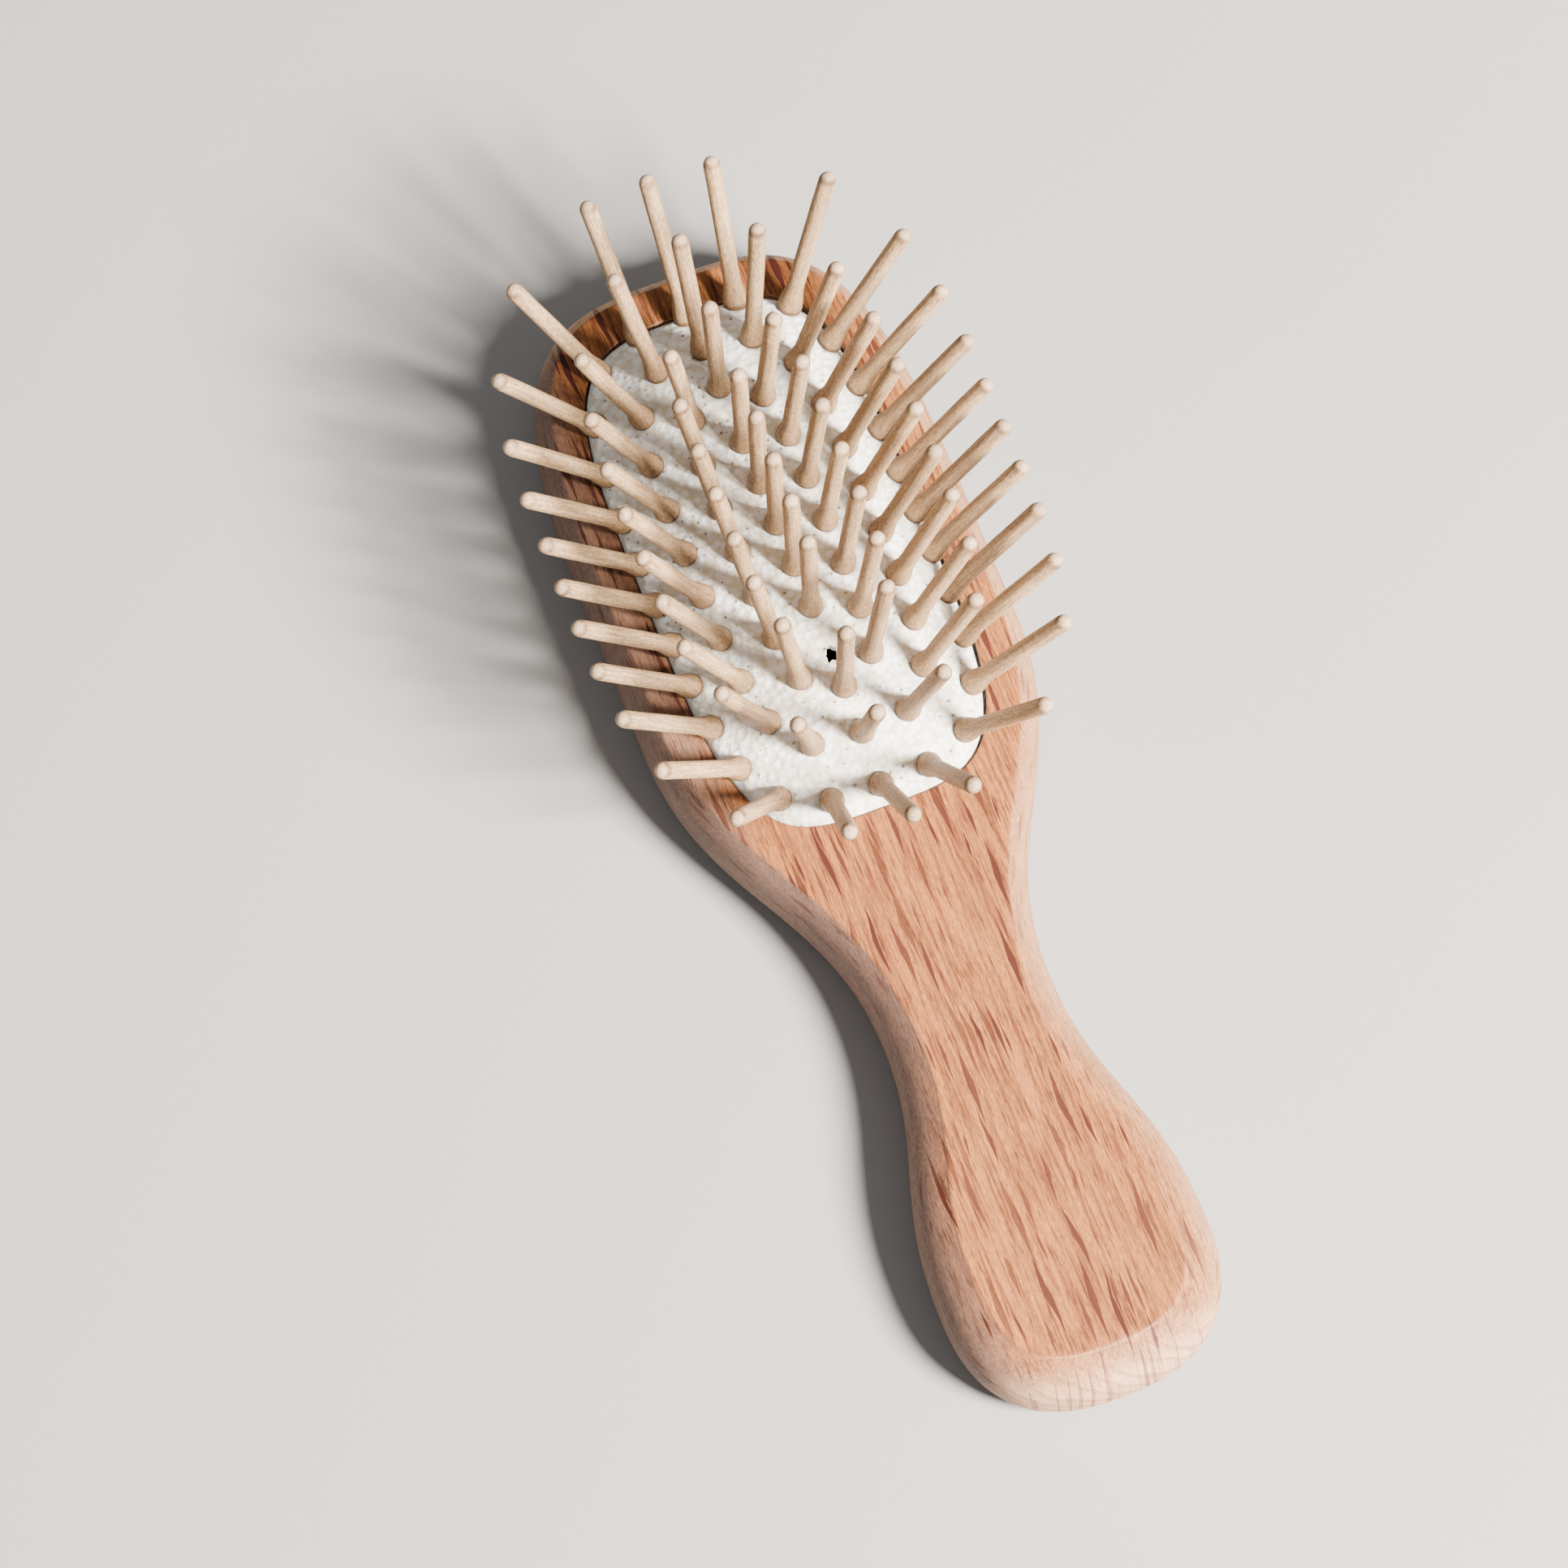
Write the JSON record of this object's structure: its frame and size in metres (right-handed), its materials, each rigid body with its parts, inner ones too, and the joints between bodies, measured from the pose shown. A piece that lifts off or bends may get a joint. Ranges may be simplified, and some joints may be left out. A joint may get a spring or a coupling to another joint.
{
  "type": "wooden pin cushion hairbrush",
  "caption": "Small paddle-shaped beech hairbrush with a waisted handle and an air-cushioned rubber pad of long, fanned-out wooden pins.",
  "frame": {"origin": "middle of the overall footprint, on the plane that the flat back rests on", "axes": "+Y along the brush from the handle to the head, +Z from the back towards the pins, +X across the brush, to the right with the head pointing away"},
  "size_m": [0.0548, 0.1472, 0.036],
  "materials": {
    "beech": "lightly oiled, sanded smooth",
    "rubber_cushion": "natural rubber with a felt-like matt face",
    "maple_pin": "turned and tumbled smooth"
  },
  "bodies": {
    "handle_and_cushion": {"beech_body": "beech", "cushion_membrane": "rubber_cushion"},
    "outer_pin_01": {"outer_pin_01": "maple_pin"},
    "outer_pin_02": {"outer_pin_02": "maple_pin"},
    "outer_pin_03": {"outer_pin_03": "maple_pin"},
    "outer_pin_04": {"outer_pin_04": "maple_pin"},
    "outer_pin_05": {"outer_pin_05": "maple_pin"},
    "outer_pin_06": {"outer_pin_06": "maple_pin"},
    "outer_pin_07": {"outer_pin_07": "maple_pin"},
    "outer_pin_08": {"outer_pin_08": "maple_pin"},
    "outer_pin_09": {"outer_pin_09": "maple_pin"},
    "outer_pin_10": {"outer_pin_10": "maple_pin"},
    "outer_pin_11": {"outer_pin_11": "maple_pin"},
    "outer_pin_12": {"outer_pin_12": "maple_pin"},
    "outer_pin_13": {"outer_pin_13": "maple_pin"},
    "outer_pin_14": {"outer_pin_14": "maple_pin"},
    "outer_pin_15": {"outer_pin_15": "maple_pin"},
    "outer_pin_16": {"outer_pin_16": "maple_pin"},
    "outer_pin_17": {"outer_pin_17": "maple_pin"},
    "outer_pin_18": {"outer_pin_18": "maple_pin"},
    "outer_pin_19": {"outer_pin_19": "maple_pin"},
    "outer_pin_20": {"outer_pin_20": "maple_pin"},
    "outer_pin_21": {"outer_pin_21": "maple_pin"},
    "outer_pin_22": {"outer_pin_22": "maple_pin"},
    "outer_pin_23": {"outer_pin_23": "maple_pin"},
    "outer_pin_24": {"outer_pin_24": "maple_pin"},
    "outer_pin_25": {"outer_pin_25": "maple_pin"},
    "outer_pin_26": {"outer_pin_26": "maple_pin"},
    "outer_pin_27": {"outer_pin_27": "maple_pin"},
    "outer_pin_28": {"outer_pin_28": "maple_pin"},
    "middle_pin_01": {"middle_pin_01": "maple_pin"},
    "middle_pin_02": {"middle_pin_02": "maple_pin"},
    "middle_pin_03": {"middle_pin_03": "maple_pin"},
    "middle_pin_04": {"middle_pin_04": "maple_pin"},
    "middle_pin_05": {"middle_pin_05": "maple_pin"},
    "middle_pin_06": {"middle_pin_06": "maple_pin"},
    "middle_pin_07": {"middle_pin_07": "maple_pin"},
    "middle_pin_08": {"middle_pin_08": "maple_pin"},
    "middle_pin_09": {"middle_pin_09": "maple_pin"},
    "middle_pin_10": {"middle_pin_10": "maple_pin"},
    "middle_pin_11": {"middle_pin_11": "maple_pin"},
    "middle_pin_12": {"middle_pin_12": "maple_pin"},
    "middle_pin_13": {"middle_pin_13": "maple_pin"},
    "middle_pin_14": {"middle_pin_14": "maple_pin"},
    "middle_pin_15": {"middle_pin_15": "maple_pin"},
    "middle_pin_16": {"middle_pin_16": "maple_pin"},
    "middle_pin_17": {"middle_pin_17": "maple_pin"},
    "middle_pin_18": {"middle_pin_18": "maple_pin"},
    "middle_pin_19": {"middle_pin_19": "maple_pin"},
    "middle_pin_20": {"middle_pin_20": "maple_pin"},
    "middle_pin_21": {"middle_pin_21": "maple_pin"},
    "middle_pin_22": {"middle_pin_22": "maple_pin"},
    "inner_pin_row_1": {"inner_pin_row_1": "maple_pin"},
    "inner_pin_row_2": {"inner_pin_row_2": "maple_pin"},
    "inner_pin_row_3": {"inner_pin_row_3": "maple_pin"},
    "inner_pin_row_4": {"inner_pin_row_4": "maple_pin"},
    "inner_pin_row_5": {"inner_pin_row_5": "maple_pin"},
    "inner_pin_row_6": {"inner_pin_row_6": "maple_pin"},
    "inner_pin_row_7": {"inner_pin_row_7": "maple_pin"}
  },
  "joints": [
    {"name": "outer_pin_01_press", "type": "slide", "parent": "handle_and_cushion", "child": "outer_pin_01", "axis": [0, 0.5752, 0.818], "range_m": [-0.0015, 0], "stiffness_N_per_m": 400, "deforming": ["cushion_membrane"]},
    {"name": "outer_pin_02_press", "type": "slide", "parent": "handle_and_cushion", "child": "outer_pin_02", "axis": [0.0793, 0.5554, 0.8278], "range_m": [-0.0015, 0], "stiffness_N_per_m": 400, "deforming": ["cushion_membrane"]},
    {"name": "outer_pin_03_press", "type": "slide", "parent": "handle_and_cushion", "child": "outer_pin_03", "axis": [0.3929, 0.3422, 0.8535], "range_m": [-0.0015, 0], "stiffness_N_per_m": 400, "deforming": ["cushion_membrane"]},
    {"name": "outer_pin_04_press", "type": "slide", "parent": "handle_and_cushion", "child": "outer_pin_04", "axis": [0.5339, 0.1354, 0.8346], "range_m": [-0.0015, 0], "stiffness_N_per_m": 400, "deforming": ["cushion_membrane"]},
    {"name": "outer_pin_05_press", "type": "slide", "parent": "handle_and_cushion", "child": "outer_pin_05", "axis": [0.5651, 0.0479, 0.8236], "range_m": [-0.0015, 0], "stiffness_N_per_m": 400, "deforming": ["cushion_membrane"]},
    {"name": "outer_pin_06_press", "type": "slide", "parent": "handle_and_cushion", "child": "outer_pin_06", "axis": [0.572, 0.0125, 0.8201], "range_m": [-0.0015, 0], "stiffness_N_per_m": 400, "deforming": ["cushion_membrane"]},
    {"name": "outer_pin_07_press", "type": "slide", "parent": "handle_and_cushion", "child": "outer_pin_07", "axis": [0.5731, 0.0013, 0.8195], "range_m": [-0.0015, 0], "stiffness_N_per_m": 400, "deforming": ["cushion_membrane"]},
    {"name": "outer_pin_08_press", "type": "slide", "parent": "handle_and_cushion", "child": "outer_pin_08", "axis": [0.5731, 0, 0.8195], "range_m": [-0.0015, 0], "stiffness_N_per_m": 400, "deforming": ["cushion_membrane"]},
    {"name": "outer_pin_09_press", "type": "slide", "parent": "handle_and_cushion", "child": "outer_pin_09", "axis": [0.5728, -0.003, 0.8197], "range_m": [-0.0015, 0], "stiffness_N_per_m": 400, "deforming": ["cushion_membrane"]},
    {"name": "outer_pin_10_press", "type": "slide", "parent": "handle_and_cushion", "child": "outer_pin_10", "axis": [0.5701, -0.0174, 0.8214], "range_m": [-0.0015, 0], "stiffness_N_per_m": 400, "deforming": ["cushion_membrane"]},
    {"name": "outer_pin_11_press", "type": "slide", "parent": "handle_and_cushion", "child": "outer_pin_11", "axis": [0.5591, -0.0558, 0.8272], "range_m": [-0.0015, 0], "stiffness_N_per_m": 400, "deforming": ["cushion_membrane"]},
    {"name": "outer_pin_12_press", "type": "slide", "parent": "handle_and_cushion", "child": "outer_pin_12", "axis": [0.52, -0.1426, 0.8422], "range_m": [-0.0015, 0], "stiffness_N_per_m": 400, "deforming": ["cushion_membrane"]},
    {"name": "outer_pin_13_press", "type": "slide", "parent": "handle_and_cushion", "child": "outer_pin_13", "axis": [0.3756, -0.3284, 0.8666], "range_m": [-0.0015, 0], "stiffness_N_per_m": 400, "deforming": ["cushion_membrane"]},
    {"name": "outer_pin_14_press", "type": "slide", "parent": "handle_and_cushion", "child": "outer_pin_14", "axis": [0.0817, -0.5161, 0.8526], "range_m": [-0.0015, 0], "stiffness_N_per_m": 400, "deforming": ["cushion_membrane"]},
    {"name": "outer_pin_15_press", "type": "slide", "parent": "handle_and_cushion", "child": "outer_pin_15", "axis": [0, -0.5363, 0.844], "range_m": [-0.0015, 0], "stiffness_N_per_m": 400, "deforming": ["cushion_membrane"]},
    {"name": "outer_pin_16_press", "type": "slide", "parent": "handle_and_cushion", "child": "outer_pin_16", "axis": [-0.0817, -0.5161, 0.8526], "range_m": [-0.0015, 0], "stiffness_N_per_m": 400, "deforming": ["cushion_membrane"]},
    {"name": "outer_pin_17_press", "type": "slide", "parent": "handle_and_cushion", "child": "outer_pin_17", "axis": [-0.3756, -0.3284, 0.8666], "range_m": [-0.0015, 0], "stiffness_N_per_m": 400, "deforming": ["cushion_membrane"]},
    {"name": "outer_pin_18_press", "type": "slide", "parent": "handle_and_cushion", "child": "outer_pin_18", "axis": [-0.52, -0.1426, 0.8422], "range_m": [-0.0015, 0], "stiffness_N_per_m": 400, "deforming": ["cushion_membrane"]},
    {"name": "outer_pin_19_press", "type": "slide", "parent": "handle_and_cushion", "child": "outer_pin_19", "axis": [-0.5591, -0.0558, 0.8272], "range_m": [-0.0015, 0], "stiffness_N_per_m": 400, "deforming": ["cushion_membrane"]},
    {"name": "outer_pin_20_press", "type": "slide", "parent": "handle_and_cushion", "child": "outer_pin_20", "axis": [-0.5701, -0.0174, 0.8214], "range_m": [-0.0015, 0], "stiffness_N_per_m": 400, "deforming": ["cushion_membrane"]},
    {"name": "outer_pin_21_press", "type": "slide", "parent": "handle_and_cushion", "child": "outer_pin_21", "axis": [-0.5728, -0.003, 0.8197], "range_m": [-0.0015, 0], "stiffness_N_per_m": 400, "deforming": ["cushion_membrane"]},
    {"name": "outer_pin_22_press", "type": "slide", "parent": "handle_and_cushion", "child": "outer_pin_22", "axis": [-0.5731, 0, 0.8195], "range_m": [-0.0015, 0], "stiffness_N_per_m": 400, "deforming": ["cushion_membrane"]},
    {"name": "outer_pin_23_press", "type": "slide", "parent": "handle_and_cushion", "child": "outer_pin_23", "axis": [-0.5731, 0.0013, 0.8195], "range_m": [-0.0015, 0], "stiffness_N_per_m": 400, "deforming": ["cushion_membrane"]},
    {"name": "outer_pin_24_press", "type": "slide", "parent": "handle_and_cushion", "child": "outer_pin_24", "axis": [-0.572, 0.0125, 0.8201], "range_m": [-0.0015, 0], "stiffness_N_per_m": 400, "deforming": ["cushion_membrane"]},
    {"name": "outer_pin_25_press", "type": "slide", "parent": "handle_and_cushion", "child": "outer_pin_25", "axis": [-0.5651, 0.0479, 0.8236], "range_m": [-0.0015, 0], "stiffness_N_per_m": 400, "deforming": ["cushion_membrane"]},
    {"name": "outer_pin_26_press", "type": "slide", "parent": "handle_and_cushion", "child": "outer_pin_26", "axis": [-0.5339, 0.1354, 0.8346], "range_m": [-0.0015, 0], "stiffness_N_per_m": 400, "deforming": ["cushion_membrane"]},
    {"name": "outer_pin_27_press", "type": "slide", "parent": "handle_and_cushion", "child": "outer_pin_27", "axis": [-0.3929, 0.3422, 0.8535], "range_m": [-0.0015, 0], "stiffness_N_per_m": 400, "deforming": ["cushion_membrane"]},
    {"name": "outer_pin_28_press", "type": "slide", "parent": "handle_and_cushion", "child": "outer_pin_28", "axis": [-0.0793, 0.5554, 0.8278], "range_m": [-0.0015, 0], "stiffness_N_per_m": 400, "deforming": ["cushion_membrane"]},
    {"name": "middle_pin_01_press", "type": "slide", "parent": "handle_and_cushion", "child": "middle_pin_01", "axis": [0, 0.3103, 0.9507], "range_m": [-0.0025, 0], "stiffness_N_per_m": 400, "deforming": ["cushion_membrane"]},
    {"name": "middle_pin_02_press", "type": "slide", "parent": "handle_and_cushion", "child": "middle_pin_02", "axis": [0.1463, 0.2474, 0.9578], "range_m": [-0.0025, 0], "stiffness_N_per_m": 400, "deforming": ["cushion_membrane"]},
    {"name": "middle_pin_03_press", "type": "slide", "parent": "handle_and_cushion", "child": "middle_pin_03", "axis": [0.3136, 0.0871, 0.9456], "range_m": [-0.0025, 0], "stiffness_N_per_m": 400, "deforming": ["cushion_membrane"]},
    {"name": "middle_pin_04_press", "type": "slide", "parent": "handle_and_cushion", "child": "middle_pin_04", "axis": [0.3429, 0.0276, 0.939], "range_m": [-0.0025, 0], "stiffness_N_per_m": 400, "deforming": ["cushion_membrane"]},
    {"name": "middle_pin_05_press", "type": "slide", "parent": "handle_and_cushion", "child": "middle_pin_05", "axis": [0.3484, 0.0061, 0.9373], "range_m": [-0.0025, 0], "stiffness_N_per_m": 400, "deforming": ["cushion_membrane"]},
    {"name": "middle_pin_06_press", "type": "slide", "parent": "handle_and_cushion", "child": "middle_pin_06", "axis": [0.349, 0.0003, 0.9371], "range_m": [-0.0025, 0], "stiffness_N_per_m": 400, "deforming": ["cushion_membrane"]},
    {"name": "middle_pin_07_press", "type": "slide", "parent": "handle_and_cushion", "child": "middle_pin_07", "axis": [0.349, -0.0002, 0.9371], "range_m": [-0.0025, 0], "stiffness_N_per_m": 400, "deforming": ["cushion_membrane"]},
    {"name": "middle_pin_08_press", "type": "slide", "parent": "handle_and_cushion", "child": "middle_pin_08", "axis": [0.3477, -0.0056, 0.9376], "range_m": [-0.0025, 0], "stiffness_N_per_m": 400, "deforming": ["cushion_membrane"]},
    {"name": "middle_pin_09_press", "type": "slide", "parent": "handle_and_cushion", "child": "middle_pin_09", "axis": [0.3398, -0.0253, 0.9402], "range_m": [-0.0025, 0], "stiffness_N_per_m": 400, "deforming": ["cushion_membrane"]},
    {"name": "middle_pin_10_press", "type": "slide", "parent": "handle_and_cushion", "child": "middle_pin_10", "axis": [0.307, -0.0765, 0.9486], "range_m": [-0.0025, 0], "stiffness_N_per_m": 400, "deforming": ["cushion_membrane"]},
    {"name": "middle_pin_11_press", "type": "slide", "parent": "handle_and_cushion", "child": "middle_pin_11", "axis": [0.1521, -0.2061, 0.9666], "range_m": [-0.0025, 0], "stiffness_N_per_m": 400, "deforming": ["cushion_membrane"]},
    {"name": "middle_pin_12_press", "type": "slide", "parent": "handle_and_cushion", "child": "middle_pin_12", "axis": [0, -0.2674, 0.9636], "range_m": [-0.0025, 0], "stiffness_N_per_m": 400, "deforming": ["cushion_membrane"]},
    {"name": "middle_pin_13_press", "type": "slide", "parent": "handle_and_cushion", "child": "middle_pin_13", "axis": [-0.1521, -0.2061, 0.9666], "range_m": [-0.0025, 0], "stiffness_N_per_m": 400, "deforming": ["cushion_membrane"]},
    {"name": "middle_pin_14_press", "type": "slide", "parent": "handle_and_cushion", "child": "middle_pin_14", "axis": [-0.307, -0.0765, 0.9486], "range_m": [-0.0025, 0], "stiffness_N_per_m": 400, "deforming": ["cushion_membrane"]},
    {"name": "middle_pin_15_press", "type": "slide", "parent": "handle_and_cushion", "child": "middle_pin_15", "axis": [-0.3398, -0.0253, 0.9402], "range_m": [-0.0025, 0], "stiffness_N_per_m": 400, "deforming": ["cushion_membrane"]},
    {"name": "middle_pin_16_press", "type": "slide", "parent": "handle_and_cushion", "child": "middle_pin_16", "axis": [-0.3477, -0.0056, 0.9376], "range_m": [-0.0025, 0], "stiffness_N_per_m": 400, "deforming": ["cushion_membrane"]},
    {"name": "middle_pin_17_press", "type": "slide", "parent": "handle_and_cushion", "child": "middle_pin_17", "axis": [-0.349, -0.0002, 0.9371], "range_m": [-0.0025, 0], "stiffness_N_per_m": 400, "deforming": ["cushion_membrane"]},
    {"name": "middle_pin_18_press", "type": "slide", "parent": "handle_and_cushion", "child": "middle_pin_18", "axis": [-0.349, 0.0003, 0.9371], "range_m": [-0.0025, 0], "stiffness_N_per_m": 400, "deforming": ["cushion_membrane"]},
    {"name": "middle_pin_19_press", "type": "slide", "parent": "handle_and_cushion", "child": "middle_pin_19", "axis": [-0.3484, 0.0061, 0.9373], "range_m": [-0.0025, 0], "stiffness_N_per_m": 400, "deforming": ["cushion_membrane"]},
    {"name": "middle_pin_20_press", "type": "slide", "parent": "handle_and_cushion", "child": "middle_pin_20", "axis": [-0.3429, 0.0276, 0.939], "range_m": [-0.0025, 0], "stiffness_N_per_m": 400, "deforming": ["cushion_membrane"]},
    {"name": "middle_pin_21_press", "type": "slide", "parent": "handle_and_cushion", "child": "middle_pin_21", "axis": [-0.3136, 0.0871, 0.9456], "range_m": [-0.0025, 0], "stiffness_N_per_m": 400, "deforming": ["cushion_membrane"]},
    {"name": "middle_pin_22_press", "type": "slide", "parent": "handle_and_cushion", "child": "middle_pin_22", "axis": [-0.1463, 0.2474, 0.9578], "range_m": [-0.0025, 0], "stiffness_N_per_m": 400, "deforming": ["cushion_membrane"]},
    {"name": "inner_pin_row_1_press", "type": "slide", "parent": "handle_and_cushion", "child": "inner_pin_row_1", "axis": [0, 0, 1], "range_m": [-0.003, 0], "stiffness_N_per_m": 1200, "deforming": ["cushion_membrane"]},
    {"name": "inner_pin_row_2_press", "type": "slide", "parent": "handle_and_cushion", "child": "inner_pin_row_2", "axis": [0, 0, 1], "range_m": [-0.003, 0], "stiffness_N_per_m": 1200, "deforming": ["cushion_membrane"]},
    {"name": "inner_pin_row_3_press", "type": "slide", "parent": "handle_and_cushion", "child": "inner_pin_row_3", "axis": [0, 0, 1], "range_m": [-0.003, 0], "stiffness_N_per_m": 1200, "deforming": ["cushion_membrane"]},
    {"name": "inner_pin_row_4_press", "type": "slide", "parent": "handle_and_cushion", "child": "inner_pin_row_4", "axis": [0, 0, 1], "range_m": [-0.003, 0], "stiffness_N_per_m": 1200, "deforming": ["cushion_membrane"]},
    {"name": "inner_pin_row_5_press", "type": "slide", "parent": "handle_and_cushion", "child": "inner_pin_row_5", "axis": [0, 0, 1], "range_m": [-0.003, 0], "stiffness_N_per_m": 1200, "deforming": ["cushion_membrane"]},
    {"name": "inner_pin_row_6_press", "type": "slide", "parent": "handle_and_cushion", "child": "inner_pin_row_6", "axis": [0, 0, 1], "range_m": [-0.003, 0], "stiffness_N_per_m": 1200, "deforming": ["cushion_membrane"]},
    {"name": "inner_pin_row_7_press", "type": "slide", "parent": "handle_and_cushion", "child": "inner_pin_row_7", "axis": [0, 0, 1], "range_m": [-0.003, 0], "stiffness_N_per_m": 1200, "deforming": ["cushion_membrane"]}
  ]
}
